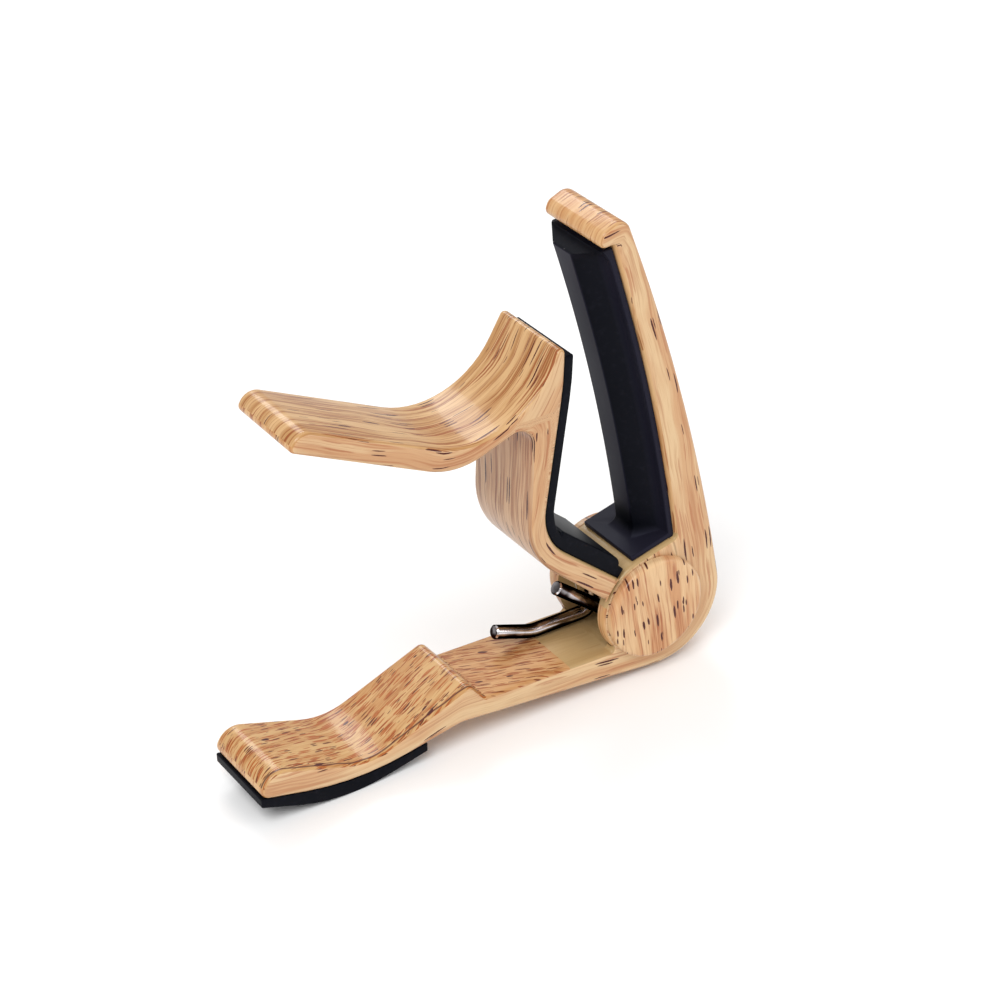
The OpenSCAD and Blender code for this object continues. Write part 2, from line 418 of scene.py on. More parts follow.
def paint_grain(obj, wall, hidden, guides):
    """Stores where each face corner lies in the print: millimetres along the grain and across it.

    wall is the closed outline, and the print's join on it is put near the hidden point. guides is a list of
    (line, test) for the side faces, of which the first whose test holds is used. Every layer of the print,
    the wall and each side face, starts at its own place in the pattern.
    """
    layer_step = np.array([137.0, 59.0])
    start = min(range(len(wall)), key=lambda i: math.dist(wall[i], hidden))
    wall = wall[start:] + wall[:start]
    total = sum(math.dist(a, b) for a, b in zip(wall, wall[1:] + wall[:1]))
    mesh = obj.data
    co = np.zeros(len(mesh.vertices) * 3)
    mesh.vertices.foreach_get("co", co)
    co = co.reshape(-1, 3)
    x, y, z = (co[:, 0] - PIVOT.x) / MM, co[:, 1] / MM, (co[:, 2] - PIVOT.z) / MM
    pts = np.stack([x, z], 1)
    s_wall, _ = along(wall + [wall[0]], pts, True)
    side_s, side_t, side_n = np.zeros(len(pts)), np.zeros(len(pts)), np.full(len(pts), -1)
    for number, (line, test) in enumerate(guides):
        s, t = along(line, pts)
        use = (side_n < 0) & (test(x, z) if test else np.ones(len(pts), bool))
        side_s[use], side_t[use], side_n[use] = s[use], t[use], number
    loops = np.zeros(len(mesh.loops), int)
    mesh.loops.foreach_get("vertex_index", loops)
    starts = np.zeros(len(mesh.polygons), int)
    totals = np.zeros(len(mesh.polygons), int)
    kinds = np.zeros(len(mesh.polygons), int)
    mesh.polygons.foreach_get("loop_start", starts)
    mesh.polygons.foreach_get("loop_total", totals)
    mesh.polygons.foreach_get("material_index", kinds)
    per_loop = np.repeat(kinds, totals)
    is_side = per_loop == SIDE
    out = np.zeros((len(loops), 3), np.float32)
    at = s_wall[loops]
    spread = np.maximum.reduceat(at, starts) - np.minimum.reduceat(at, starts)
    at = np.where(np.repeat(spread > total / 2, totals) & (at < total / 2), at + total, at)
    out[:, 0] = np.where(is_side, side_s[loops], at)
    out[:, 1] = np.where(is_side, side_t[loops], y[loops])
    face_side = np.repeat(np.array([1.0 if p.center.y > 0 else 0.0 for p in mesh.polygons]), totals)
    layer = np.where(is_side, 1 + side_n[loops] + 3 * face_side, 0)
    out[:, :2] += layer[:, None] * layer_step
    store_grain(mesh, out)


def store_grain(mesh, values):
    mesh.attributes.new("grain", "FLOAT_VECTOR", "CORNER").data.foreach_set("vector", values.ravel())


# ---------------------------------------------------------------- materials
class Nodes:
    """A short way to write a node tree."""

    def __init__(self, name):
        self.mat = bpy.data.materials.new(name)
        self.mat.use_nodes = True
        self.tree = self.mat.node_tree
        self.shader = self.tree.nodes["Principled BSDF"]

    def add(self, kind, **values):
        node = self.tree.nodes.new("ShaderNode" + kind)
        for key, value in values.items():
            if hasattr(node, key):
                setattr(node, key, value)
            else:
                self.put(value, node.inputs[key.replace("_", " ")])
        return node

    def put(self, value, socket):
        if isinstance(value, bpy.types.NodeSocket):
            self.tree.links.new(value, socket)
        else:
            socket.default_value = value

    def math(self, how, a, b=0.0, c=None):
        node = self.tree.nodes.new("ShaderNodeMath")
        node.operation = how
        self.put(a, node.inputs[0])
        self.put(b, node.inputs[1])
        if c is not None:
            self.put(c, node.inputs[2])
        return node.outputs[0]

    def scaled(self, vector, scale, offset=(0, 0, 0)):
        node = self.tree.nodes.new("ShaderNodeVectorMath")
        node.operation = "MULTIPLY_ADD"
        self.put(vector, node.inputs[0])
        node.inputs[1].default_value, node.inputs[2].default_value = scale, offset
        return node.outputs[0]

    def noise(self, vector, detail=2.0, rough=0.5, scale=1.0):
        node = self.add("TexNoise", Scale=scale, Detail=detail, Roughness=rough)
        self.put(vector, node.inputs["Vector"])
        return node.outputs["Fac"]

    def step(self, value, low, high):
        """0 below low, 1 above high, smooth between."""
        node = self.tree.nodes.new("ShaderNodeMapRange")
        node.interpolation_type = "SMOOTHSTEP"
        self.put(value, node.inputs["Value"])
        node.inputs["From Min"].default_value, node.inputs["From Max"].default_value = low, high
        return node.outputs[0]

    def mix(self, fac, a, b):
        node = self.tree.nodes.new("ShaderNodeMix")
        node.data_type = "RGBA"
        self.put(fac, node.inputs[0])
        self.put(a, node.inputs[6])
        self.put(b, node.inputs[7])
        return node.outputs[2]

    def bump(self, height, strength, distance):
        node = self.add("Bump", Strength=strength, Distance=distance)
        self.put(height, node.inputs["Height"])
        self.put(node.outputs[0], self.shader.inputs["Normal"])


def srgb(r, g, b):
    """A colour given as on screen, 0 to 255."""
    def line(c):
        c /= 255
        return c / 12.92 if c <= 0.04045 else ((c + 0.055) / 1.055) ** 2.4
    return (line(r), line(g), line(b), 1)


def ink(r, g, b):
    """A print colour, a little darker and warmer than it looks in the studio light."""
    colour = srgb(r, g, b)
    return tuple(c * part for c, part in zip(colour, (0.8, 0.768, 0.672))) + (1,)


DARK = ink(84, 30, 24)


def dashes(n, grain, length, width, share, size, seed, soft=0.05):
    """Short strokes along the grain: stretched cells, of which a share holds a stroke."""
    node = n.add("TexVoronoi", voronoi_dimensions="2D", Scale=1.0, Randomness=0.9)
    n.put(n.scaled(grain, (1 / length, 1 / width, 1.0), (seed, seed * 1.7, 0)), node.inputs["Vector"])
    pick = n.tree.nodes.new("ShaderNodeSeparateColor")
    n.put(node.outputs["Color"], pick.inputs[0])
    reach = n.math("MULTIPLY_ADD", pick.outputs[1], size * 0.8, size * 0.4)
    body = n.math("SUBTRACT", reach, node.outputs["Distance"])
    chosen = n.step(pick.outputs[0], 1 - share, 1 - share + 0.02)
    return n.math("MULTIPLY", n.step(body, 0.0, soft), chosen)


def wood(name, light, mid, brown, band, line, seed, strokes=(), warp=1.0, slant=0.0, rims=()):
    """Satin lacquer over a printed wood grain.

    band and line are (length, width, strength) of the broad and the fine streaks. A stroke is (length, width,
    share, size, seed, strength, colour, softness). A rim is (place, wander, width, gaps) of a thin dark line
    along the grain.
    """
    n = Nodes(name)
    grain = n.add("Attribute", attribute_name="grain").outputs["Vector"]
    flat_grain = grain
    wave = n.add("TexNoise", Scale=1.0, Detail=1.0)
    n.put(n.scaled(grain, (0.07, 0.16, 1.0), (seed, 0, 0)), wave.inputs["Vector"])
    bend = n.tree.nodes.new("ShaderNodeVectorMath")
    bend.operation = "MULTIPLY_ADD"
    n.put(wave.outputs["Color"], bend.inputs[0])
    bend.inputs[1].default_value = (0.0, 2.4 * warp, 0.0)
    n.put(grain, bend.inputs[2])
    grain = bend.outputs[0]
    if slant:
        parts = n.tree.nodes.new("ShaderNodeSeparateXYZ")
        n.put(grain, parts.inputs[0])
        back = n.tree.nodes.new("ShaderNodeCombineXYZ")
        n.put(parts.outputs[0], back.inputs[0])
        n.put(n.math("MULTIPLY_ADD", parts.outputs[0], slant, parts.outputs[1]), back.inputs[1])
        grain = back.outputs[0]
    rough_edge = n.add("TexNoise", Scale=1.0, Detail=2.0)
    n.put(n.scaled(grain, (1.3, 4.0, 1.0), (seed, 2, 0)), rough_edge.inputs["Vector"])
    torn = n.tree.nodes.new("ShaderNodeVectorMath")
    torn.operation = "MULTIPLY_ADD"
    n.put(rough_edge.outputs["Color"], torn.inputs[0])
    torn.inputs[1].default_value = (0.6, 0.1, 0.0)
    n.put(grain, torn.inputs[2])
    torn = torn.outputs[0]
    broad = n.noise(n.scaled(grain, (1 / band[0], 1 / band[1], 1.0), (seed, seed, 0)), 4.0, 0.6)
    lines = n.noise(n.scaled(grain, (1 / line[0], 1 / line[1], 1.0), (seed + 5, 0, 0)), 3.0, 0.6)
    hair = n.noise(n.scaled(grain, (1 / 5, 1 / 0.15, 1.0), (seed + 7, 0, 0)), 2.0, 0.6)
    patch = n.noise(n.scaled(grain, (0.06, 0.13, 1.0), (seed + 9, 3, 0)), 2.0)
    level = n.math("ADD", broad, n.math("MULTIPLY_ADD", patch, 0.5, -0.25))
    colour = n.mix(n.math("MULTIPLY", n.step(level, 0.4, 0.62), band[2]), light, mid)
    streak = n.step(n.math("MULTIPLY_ADD", broad, 0.35, lines), 0.66, 0.84)
    colour = n.mix(n.math("MULTIPLY", streak, line[2]), colour, brown)
    colour = n.mix(n.math("MULTIPLY", n.step(hair, 0.5, 0.72), 0.3), colour, brown)
    for length, width, share, size, spot, strength, tint, soft in strokes:
        mask = dashes(n, torn, length, width, share, size, spot, soft)
        colour = n.mix(n.math("MULTIPLY", mask, strength), colour, tint)
    if rims:
        parts = n.tree.nodes.new("ShaderNodeSeparateXYZ")
        n.put(flat_grain, parts.inputs[0])
    for k, (spot, stray, width, gaps) in enumerate(rims):
        wander = n.noise(n.scaled(flat_grain, (0.11, 0.0, 1.0), (seed + 3 * k, 0, 0)), 2.0)
        drift = n.math("MULTIPLY_ADD", wander, stray, parts.outputs[1])
        off = n.math("ABSOLUTE", n.math("ADD", drift, -spot - stray / 2))
        gate = n.noise(n.scaled(flat_grain, (0.45, 0.0, 1.0), (seed + 7 * k, 0, 0)), 2.0)
        shown = n.math("MULTIPLY", n.step(off, width, width * 0.4), n.step(gate, gaps, gaps + 0.04))
        colour = n.mix(n.math("MULTIPLY", shown, 0.85), colour, DARK)
    n.put(colour, n.shader.inputs["Base Color"])
    n.put(n.math("MULTIPLY_ADD", hair, 0.14, 0.27), n.shader.inputs["Roughness"])
    n.shader.inputs["Coat Weight"].default_value = 0.2
    n.shader.inputs["Coat Roughness"].default_value = 0.1
    n.shader.inputs["Specular IOR Level"].default_value = 0.25
    ripple = n.noise(n.scaled(n.add("TexCoord").outputs["Object"], (420, 420, 420)), 2.0)
    n.bump(ripple, 0.1, 0.0002)
    return n.mat


def print_set():
    """The printed areas of the string arm and handle, in the order of the area numbers."""
    side = wood("print_side", ink(238, 206, 168), ink(222, 174, 134), ink(188, 122, 82), band=(55, 2.4, 0.85),
                line=(24, 0.6, 0.55), seed=1.0,
                strokes=[(12, 0.7, 0.35, 0.34, 3.0, 0.5, ink(186, 112, 74), 0.1),
                         (11.0, 0.8, 0.36, 0.2, 11.0, 1.0, DARK, 0.03)])
    top = wood("print_top", ink(223, 184, 134), ink(208, 158, 106), ink(176, 110, 58), band=(18, 1.5, 0.9),
               line=(9, 0.4, 0.7), seed=2.0, slant=0.2,
               rims=[(-6.9, 1.3, 0.24, 0.2), (-6.2, 2.4, 0.15, 0.5)],
               strokes=[(3.6, 0.38, 0.6, 0.44, 3.0, 0.85, ink(178, 90, 30), 0.1),
                        (4.8, 0.42, 0.4, 0.34, 5.0, 0.9, ink(154, 72, 26), 0.08),
                        (2.8, 0.42, 0.22, 0.32, 8.0, 0.95, ink(100, 42, 22), 0.06),
                        (5.2, 2.0, 0.1, 0.17, 13.0, 1.0, DARK, 0.03)])
    floor = wood("print_floor", ink(222, 176, 130), ink(208, 156, 106), ink(172, 108, 62),
                 band=(12, 1.2, 0.9), line=(7, 0.4, 0.7), seed=3.0, slant=-0.3,
                 strokes=[(3.4, 0.38, 0.6, 0.46, 6.0, 0.85, ink(158, 80, 34), 0.1),
                          (4.0, 0.42, 0.38, 0.36, 9.0, 0.9, ink(120, 60, 36), 0.08),
                          (5.0, 1.6, 0.08, 0.17, 12.0, 1.0, DARK, 0.03)])
    plain = wood("print_plain", ink(206, 176, 132), ink(194, 162, 116), ink(180, 144, 98),
                 band=(40, 3.0, 0.5), line=(20, 0.8, 0.3), seed=4.0)
    back = wood("print_back", ink(232, 190, 144), ink(214, 160, 110), ink(180, 112, 66), band=(30, 1.7, 0.9),
                line=(12, 0.5, 0.7), seed=5.0,
                strokes=[(9.0, 0.6, 0.35, 0.36, 7.0, 0.8, ink(160, 90, 48), 0.1),
                         (9.0, 0.7, 0.2, 0.2, 17.0, 1.0, DARK, 0.03)])
    return [side, top, floor, plain, back]


def lever_set():
    """The printed areas of the lever, in the order of the area numbers."""
    side = wood("print_lever_side", ink(232, 196, 158), ink(216, 166, 126), ink(186, 120, 80),
                band=(45, 2.0, 0.9), line=(22, 0.5, 0.65), seed=21.0,
                rims=[(-1.7, 0.8, 0.15, 0.42), (1.5, 0.9, 0.15, 0.44)],
                strokes=[(12, 0.6, 0.35, 0.36, 3.0, 0.6, ink(176, 104, 66), 0.1),
                         (11.0, 0.8, 0.34, 0.2, 15.0, 1.0, DARK, 0.03)])
    tab = wood("print_tab", ink(230, 190, 144), ink(204, 156, 106), ink(160, 98, 54), band=(34, 1.2, 1.0),
               line=(20, 0.4, 0.9), seed=7.0, warp=1.3,
               strokes=[(18.0, 0.46, 0.5, 0.36, 2.0, 0.8, ink(158, 80, 34), 0.1),
                        (13.0, 0.62, 0.26, 0.2, 19.0, 1.0, DARK, 0.03),
                        (7.0, 0.6, 0.2, 0.2, 21.0, 1.0, DARK, 0.03)])
    leg = wood("print_leg", ink(216, 180, 150), ink(196, 152, 120), ink(158, 108, 78), band=(30, 1.4, 0.9),
               line=(18, 0.4, 0.8), seed=8.0,
               strokes=[(14.0, 0.55, 0.45, 0.36, 4.0, 0.7, ink(140, 90, 64), 0.1),
                        (10.0, 0.7, 0.32, 0.24, 23.0, 1.0, ink(76, 40, 38), 0.04)])
    plain = bpy.data.materials["print_plain"]
    back = bpy.data.materials["print_back"]
    return [side, tab, leg, plain, back]


def silicone(name):
    """Black moulded silicone with a faint bloom and a little dust, and a painted sheen that makes its lit
    faces paler.
    """
    n = Nodes(name)
    spot = n.add("TexCoord").outputs["Object"]
    bloom = n.noise(n.scaled(spot, (60, 60, 60)), 3.0)
    mottle = n.noise(n.scaled(spot, (900, 900, 900)), 3.0, 0.6)
    rub = n.add("Attribute", attribute_name="rub").outputs["Fac"]
    base = n.mix(n.step(bloom, 0.35, 0.7), srgb(3, 4, 9), srgb(8, 9, 15))
    # painted sheen: pale grey where the pad's faces catch the light
    base = n.mix(rub, base, srgb(32, 31, 43))
    base = n.mix(n.math("MULTIPLY", n.step(mottle, 0.5, 0.8), 0.3), base, srgb(34, 33, 42))
    speck = n.add("TexVoronoi", Scale=1.0, Randomness=1.0)
    n.put(n.scaled(spot, (520, 520, 520)), speck.inputs["Vector"])
    pick = n.tree.nodes.new("ShaderNodeSeparateColor")
    n.put(speck.outputs["Color"], pick.inputs[0])
    dot = n.step(speck.outputs["Distance"], 0.11, 0.05)
    dot = n.math("MULTIPLY", dot, n.step(pick.outputs[0], 0.93, 0.95))
    base = n.mix(n.math("MULTIPLY", dot, 0.7), base, srgb(130, 126, 126))
    n.put(base, n.shader.inputs["Base Color"])
    n.put(n.math("MULTIPLY_ADD", bloom, 0.16, 0.4), n.shader.inputs["Roughness"])
    n.shader.inputs["Specular IOR Level"].default_value = 0.09
    n.shader.inputs["Specular Tint"].default_value = (0.75, 0.8, 1.0, 1)
    n.bump(mottle, 0.12, 0.0001)
    return n.mat


def turned_steel(name, colour, rough):
    """Turned steel with a fine grain and a slightly uneven tone."""
    n = Nodes(name)
    pale = tuple(min(1.0, c * 1.5) for c in colour[:3]) + (1,)
    spot = n.add("TexCoord").outputs["Object"]
    fine = n.noise(n.scaled(spot, (1500, 1500, 1500)), 2.0)
    broad = n.noise(n.scaled(spot, (180, 180, 180)), 3.0)
    n.put(n.mix(n.step(broad, 0.3, 0.75), colour, pale), n.shader.inputs["Base Color"])
    n.shader.inputs["Metallic"].default_value = 1.0
    n.put(n.math("MULTIPLY_ADD", fine, 0.2, rough), n.shader.inputs["Roughness"])
    n.bump(fine, 0.05, 0.00005)
    return n.mat


def black_nickel():
    """Glossy black plating with a painted reflection in its colour: a bright middle, dark sides and brown
    patches between, shifted by noise.
    """
    n = Nodes("black_nickel")
    spot = n.add("TexCoord").outputs["Object"]
    fine = n.noise(n.scaled(spot, (1500, 1500, 1500)), 2.0)
    broad = n.noise(n.scaled(spot, (260, 260, 260)), 3.0)
    facing = n.add("LayerWeight", Blend=0.5).outputs["Facing"]
    uneven = n.math("MULTIPLY_ADD", broad, 0.5, facing)
    # painted reflection: bright where the wire faces the view, brown then near black towards its outline
    tone = n.mix(n.step(uneven, 0.42, 0.62), srgb(222, 216, 218), srgb(34, 25, 24))
    tone = n.mix(n.step(uneven, 0.62, 0.9), tone, srgb(12, 8, 8))
    n.put(tone, n.shader.inputs["Base Color"])
    n.put(n.math("MULTIPLY_ADD", fine, 0.08, 0.08), n.shader.inputs["Roughness"])
    n.shader.inputs["Metallic"].default_value = 1.0
    n.shader.inputs["Specular Tint"].default_value = (0.1, 0.09, 0.09, 1)
    n.bump(fine, 0.05, 0.00005)
    return n.mat


def nylon(name):
    """Natural, slightly cloudy nylon."""
    n = Nodes(name)
    spot = n.add("TexCoord").outputs["Object"]
    fog = n.noise(n.scaled(spot, (300, 300, 300)), 3.0)
    n.put(n.mix(fog, srgb(214, 211, 200), srgb(232, 230, 222)), n.shader.inputs["Base Color"])
    n.put(n.math("MULTIPLY_ADD", fog, 0.1, 0.45), n.shader.inputs["Roughness"])
    n.bump(fog, 0.08, 0.0001)
    return n.mat


def dress(obj, materials):
    """Gives a mesh its materials and keeps each face's print area."""
    kinds = [p.material_index for p in obj.data.polygons]
    obj.data.materials.clear()
    for m in materials:
        obj.data.materials.append(m)
    top = len(materials) - 1
    obj.data.polygons.foreach_set("material_index", [min(k, top) for k in kinds])


# ---------------------------------------------------------------- the castings
def frame_path():
    """The side view of the string arm, hinge cheeks and handle, as a closed corner list with print areas."""
    seat_deg = math.degrees(math.atan2(SEAT_END[1], SEAT_END[0]))
    floor_hit = crossing(RIDGE_FOOT, FLOOR_END, CHEEK_R)
    floor_deg = math.degrees(math.atan2(floor_hit[1], floor_hit[0])) % 360
    half = (floor_deg - seat_deg) / 4
    reach = CHEEK_R / math.cos(math.radians(half))
    c1 = polar(reach, seat_deg + half)
    c2 = polar(reach, floor_deg - half)
    slope = (RIDGE_FOOT[1] - FLOOR_END[1]) / (RIDGE_FOOT[0] - FLOOR_END[0])
    patch = (PRINT_END, FLOOR_END[1] + (PRINT_END - FLOOR_END[0]) * slope)
    return [
        (-4.0, 71.3, 2.2, BACK), (-8.3, 69.5, 1.6, BACK), (-9.5, 66.75, 1.1, BACK),
        (-6.25, 67.1, 0.6, BACK), ARM[2] + (BACK,), ARM[3] + (PLAIN,),
        (c1[0], c1[1], CHEEK_R - 0.15, PLAIN), (c2[0], c2[1], CHEEK_R - 0.15, BACK),
        (floor_hit[0], floor_hit[1], 0.6, PLAIN), (patch[0], patch[1], 0, FLOOR),
        RIDGE_FOOT + (0.6, TOP), (-35.1, -1.75, 1.3, TOP), (-53.9, -8.75, 12, TOP), (-71.4, -2.65, 3.5, TOP),
        BELLY[2] + (BACK,), BELLY[1] + (BACK,), BELLY[0] + (BACK,),
        (15.9, -13.9, 11.9, BACK), (8.15, 35.6, 370, BACK)]


def pocket_outline():
    """The room for the knuckles, open towards the lever."""
    near, far = (offset(JAW[3], FOOT, s, STOP_GAP) for s in (4, -14))
    return [far, near, (0, 0), FLOOR_END, (-14, -6.13), (-20, 2)]


def build_frame():
    path = frame_path()
    obj = slab("printed_frame", path, FRAME_HALF, CASTING_EDGE)
    combine(obj, prism("cut_round", circle(POCKET_R), -CHEEK_IN, CHEEK_IN), "DIFFERENCE", PLAIN)
    combine(obj, prism("cut_mouth", pocket_outline()[::-1], -CHEEK_IN, CHEEK_IN), "DIFFERENCE", PLAIN)
    through = FRAME_HALF + 1
    combine(obj, prism("cut_bore", circle(PIN_R), -through, through), "DIFFERENCE", PLAIN)
    guide = open_line([
        (-10.5, 68.4, 0), (-3.2, 69.6, 2.5), (4.2, 36.5, 300), (11.0, -9.6, 8), (-37, -5.2, 6),
        (-56.3, -9.3, 40), (-76, -5.0, 0)])
    paint_grain(obj, flat(rounded(path)), ARM[2][:2], [(guide, None)])
    return obj


def lever_path():
    """The side view of the lever, anticlockwise, with its foot cut round the hinge."""
    top = crossing(JAW[2], JAW[3], FOOT_R)
    low = crossing(UNDER[1], UNDER[0], FOOT_R)
    a, b = (math.degrees(math.atan2(p[1], p[0])) for p in (top, low))
    mid = polar(FOOT_R / math.cos(math.radians((b - a) / 2)), (a + b) / 2)
    corners = UNDER[:0:-1] + [low + (0.5,), mid + (FOOT_R,), top + (0.5,)] + JAW[2::-1]
    areas = [TOP, TOP, BACK, BACK, FLOOR, FLOOR, PLAIN, PLAIN, PLAIN, PLAIN, TOP, TOP]
    return [c + (area,) for c, area in zip(corners, areas)]


def build_lever():
    path = lever_path()
    obj = slab("printed_lever", path, LEVER_HALF, CASTING_EDGE)
    over = [offset(JAW[3], FOOT, s, -EAR_STEP) for s in (-7, 5)]
    under = [offset(UNDER[0], FOOT_UNDER, s, EAR_STEP) for s in (4, -5)]
    arm = over + [(0, 0)] + under
    for low, high in ((-EAR_OUT, -EAR_IN), (EAR_IN, EAR_OUT)):
        ear = prism("ear", circle(KNUCKLE_R), low, high)
        combine(ear, prism("ear_arm", arm[::-1], low, high), "UNION", PLAIN)
        combine(ear, prism("ear_bore", circle(PIN_R + SLACK), low - 1, high + 1), "DIFFERENCE", PLAIN)
        combine(obj, ear, "UNION", PLAIN)
    seat = [(-3.6, 0.3), (-9, 0.3), (-8.4, -0.3), (-3.6, -0.3)]
    seat = [offset(UNDER[0], FOOT_UNDER, s, h) for s, h in seat]
    half = EAR_OUT - 0.5
    combine(obj, prism("spring_seat", seat, -half, half), "UNION", PLAIN)
    tab = open_line([(-66, 54.2, 0), (-36, 39.6, 14), (-24.5, 44.0, 10), (-17.0, 58, 0)])
    leg = open_line([(-40, 41.8, 0), (-18.6, 44.6, 4), (-18.8, 38, 30), (-22.9, 19.2, 8), (-4.8, 3.2, 0)])
    guides = [(leg, lambda x, z: (z < 42.4) & (x > -25.5)), (tab, None)]
    paint_grain(obj, flat(rounded(path)), JAW[1][:2], guides)
    return obj


def build_cap(name, side):
    """A thin round cap with a flat face, a rounded rim and a blind hole for the pin."""
    thick = (cap_high.y - cap_low.y) / MM
    inner = FRAME_HALF + SLACK
    rim, rim_steps, chamfer, sides, pin_grip = 0.8, 7, 0.15, 120, 0.9
    profile = [(CAP_R - chamfer, 0.0), (CAP_R, chamfer)]
    for k in range(rim_steps + 1):
        a = math.pi / 2 * k / rim_steps
        profile.append((CAP_R - rim + rim * math.cos(a), thick - rim + rim * math.sin(a)))
    rings = [[place(p[0], side * (inner + h), p[1]) for p in circle(r, sides)] for r, h in profile]
    caps = [(circle(CAP_R - chamfer, sides), lambda p: place(p[0], side * inner, p[1])),
            (circle(CAP_R - rim, sides), lambda p: place(p[0], side * (inner + thick), p[1]))]
    obj = skin(name, rings, caps)
    low, high = sorted((side * (inner - 1), side * (inner + pin_grip)))
    combine(obj, prism("socket", circle(PIN_R), low, high), "DIFFERENCE", SIDE)
    mesh = obj.data
    out = np.zeros((len(mesh.loops), 3), np.float32)
    tilt = math.radians(6)
    for i, l in enumerate(mesh.loops):
        p = mesh.vertices[l.vertex_index].co
        x, z = (p.x - PIVOT.x) / MM, (p.z - PIVOT.z) / MM
        h = abs(p.y) / MM - inner
        along_print = z * math.cos(tilt) - x * math.sin(tilt)
        across = x * math.cos(tilt) + z * math.sin(tilt)
        out[i] = (along_print, across + 0.3 * h, 3 * side)
    store_grain(mesh, out)
    return obj


# ---------------------------------------------------------------- the pads
def string_section(s, total, half):
    """The string pad across the arm at s from its top, as a closed corner list (y, height)."""
    face, foot = 2.35, 4.85
    toe, toe_wide, facet_start, facet = 2.15, 6.4, 0.1, 0.45
    end = 1 - min(1.0, max(0.0, (s - facet_start) / facet))
    flare = max(0.0, 1 - s / STRING_FLARE) ** 2
    sweep = 2.2
    left = max(0.0, 1 - (total - s) / sweep)
    rise = sweep * (1 - math.sqrt(max(0.0, 1 - left * left)))
    edge = STRING_SHEET + 0.95 * flare
    top = STRING_BAR + (toe - STRING_BAR) * end + rise
    wide = face + (toe_wide - face) * end + 0.5 * rise
    low = foot + 1.75 * flare + 0.5 * rise
    root = 1.9 * (1 - end) + 0.05
    crown = 0.45 - 0.38 * end
    return [
        (-half, GLUE, 0.12), (half, GLUE, 0.12), (half, edge, 0.3), (low, edge, root),
        (wide, top, crown), (-wide, top, crown), (-low, edge, root), (-half, edge, 0.3)]


def string_marks(total):
    """Where the string pad's rings stand, as (distance from its top, inset): first a rounded edge."""
    rim, rim_steps = 0.14, 3
    marks = []
    for k in range(rim_steps):
        a = math.pi / 2 * k / rim_steps
        marks.append((rim * (1 - math.cos(a)), rim * (1 - math.sin(a))))
    close = (rim, 0.25, 0.35, 0.45, 0.52, 0.58, 0.7, 0.9, 1.2, 1.6, 2.0, 2.6, 3.2)
    even = np.linspace(4.5, total - 4, 22)
    last = np.linspace(total - 3, total, 12)
    return marks + [(s, 0.0) for part in (close, even, last) for s in part]


def build_string_pad():
    """A sheet down the arm and over the seat, with a tapered bar standing on the arm."""
    half = half_width("string_pad")
    lean_most, lean_height = 0.24, 2.2
    line = open_line([(-6.2, 66.3, 0), ARM[2], (5.04, 11.0, 0)])
    total = sum(math.dist(a, b) for a, b in zip(line, line[1:]))
    counts = [2, 2, 4, 7, 5, 5, 7, 4]

    def station(s):
        for a, b in zip(line, line[1:]):
            step = math.dist(a, b)
            if s <= step or b is line[-1]:
                t = s / step
                return (a[0] + (b[0] - a[0]) * t, a[1] + (b[1] - a[1]) * t), direction(a, b)[1]
            s -= step

    def put_at(s):
        """Places a section's points; near the top the sheet leans along the arm as it rises."""
        p, left = station(s)
        lean = lean_most * max(0.0, 1 - s / STRING_FLARE)

        def put(q):
            shift = lean * min(q[1], lean_height)
            return place(
                p[0] - left[0] * q[1] - left[1] * shift,
                q[0],
                p[1] - left[1] * q[1] + left[0] * shift)
        return put

    rings, flats = [], []
    for s, inset in string_marks(total):
        outline = flat(rounded(string_section(s, total, half), inset, counts))
        put = put_at(s)
        rings.append([put(q) for q in outline])
        flats.append((outline, put))
    obj = skin("string_pad_moulding", rings, [flats[0], flats[-1]])
    # the sheet on the seat stays a hair inside the other, so that no two faces lie in one plane
    seat = strip([(4.2, 17.0, 0), ARM[3], ARM[4]], 0.04 - STRING_SHEET, -0.04)
    combine(obj, slab("seat_sheet", soft_corners(seat, 0.2), half - 0.006, 0.3), "UNION")
    # painted sheen on the string pad's sheet and on the top of its bar
    mark_painted_sheen(obj, line + [ARM[4][:2]], string_painted_sheen)
    return obj


def string_painted_sheen(height):
    """How strong the painted sheen is on the string pad: its sheet, and the top of its bar."""
    on_sheet = 0.8 - (height - STRING_SHEET) / 1.3
    on_bar = (height - STRING_BAR + 0.18) / 0.15
    return max(on_sheet, on_bar)


def mark_painted_sheen(obj, line, rule):
    """Stores how much painted sheen each point of a pad takes, from its height over the line."""
    mesh = obj.data
    pts = np.array([((v.co.x - PIVOT.x) / MM, (v.co.z - PIVOT.z) / MM) for v in mesh.vertices])
    _, height = along(line, pts)
    rub = [min(1.0, max(0.0, rule(abs(h)))) for h in height]
    mesh.attributes.new("rub", "FLOAT", "POINT").data.foreach_set("value", rub)


def build_neck_pad():
    """The sheet behind the neck with the thicker block on the lever's foot."""
    half = half_width("neck_pad")
    sheet = soft_corners(strip(NECK, GLUE, NECK_SHEET), 0.25)
    obj = slab("neck_pad_moulding", sheet, half, 0.32)
    corners = ((3.4, 0.8, 0.2), (18.7, 0.8, 0.2), (17.3, NECK_BLOCK, 1.5), (2.7, NECK_BLOCK, 0.6))
    block = [offset(JAW[2], FOOT, along_foot, height) + (r,) for along_foot, height, r in corners]
    combine(obj, slab("block", block, half, 0.45), "UNION")
    return obj


def build_grip_pad():
    """The pad under the handle, with a fuller middle."""
    path = soft_corners(beside(GRIP, GLUE) + GRIP_UNDER[::-1], 0.25)
    return slab("grip_pad_moulding", path, half_width("grip_pad"), 0.25)


